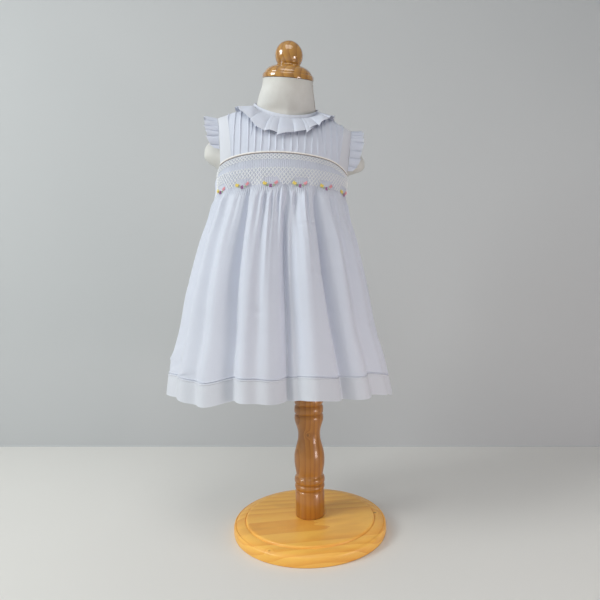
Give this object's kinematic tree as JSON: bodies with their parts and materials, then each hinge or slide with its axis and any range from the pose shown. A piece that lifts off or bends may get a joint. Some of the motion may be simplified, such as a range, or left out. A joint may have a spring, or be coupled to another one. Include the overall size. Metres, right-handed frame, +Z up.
{
  "type": "toddler smocked dress on a limbless dress form with a turned wooden stand",
  "caption": "White batiste toddler dress with smocked chest, pin-tucked yoke and frills, on a cream dress form with a turned pine stand",
  "frame": {"origin": "centre of the base's underside, on the floor", "axes": "+Z up, the dress's front faces -Y, its left side as seen from the front is -X"},
  "size_m": [0.3334, 0.253, 0.7253],
  "materials": {
    "batiste": "thin matte white cotton batiste, slightly translucent",
    "piping": "matte ecru piping cord",
    "button": "smooth pearly white",
    "form_cover": "tightly stretched cream cover, matte",
    "dark_wood": "dark glossy varnish",
    "pine": "honey pine, satin varnish"
  },
  "bodies": {
    "root": {"skirt_front": "batiste", "skirt_back": "batiste", "front_yoke": "batiste", "back_yoke_left": "batiste", "back_yoke_right": "batiste", "neckband": "batiste", "neck_frill": "batiste", "armhole_frill_left": "batiste", "armhole_frill_right": "batiste", "yoke_piping": "piping", "back_button_1": "button", "back_button_2": "button", "back_button_3": "button", "form_torso": "form_cover", "neck_cap": "dark_wood", "ball_finial": "dark_wood", "stand_post": "pine", "stand_base": "pine"}
  },
  "joints": []
}
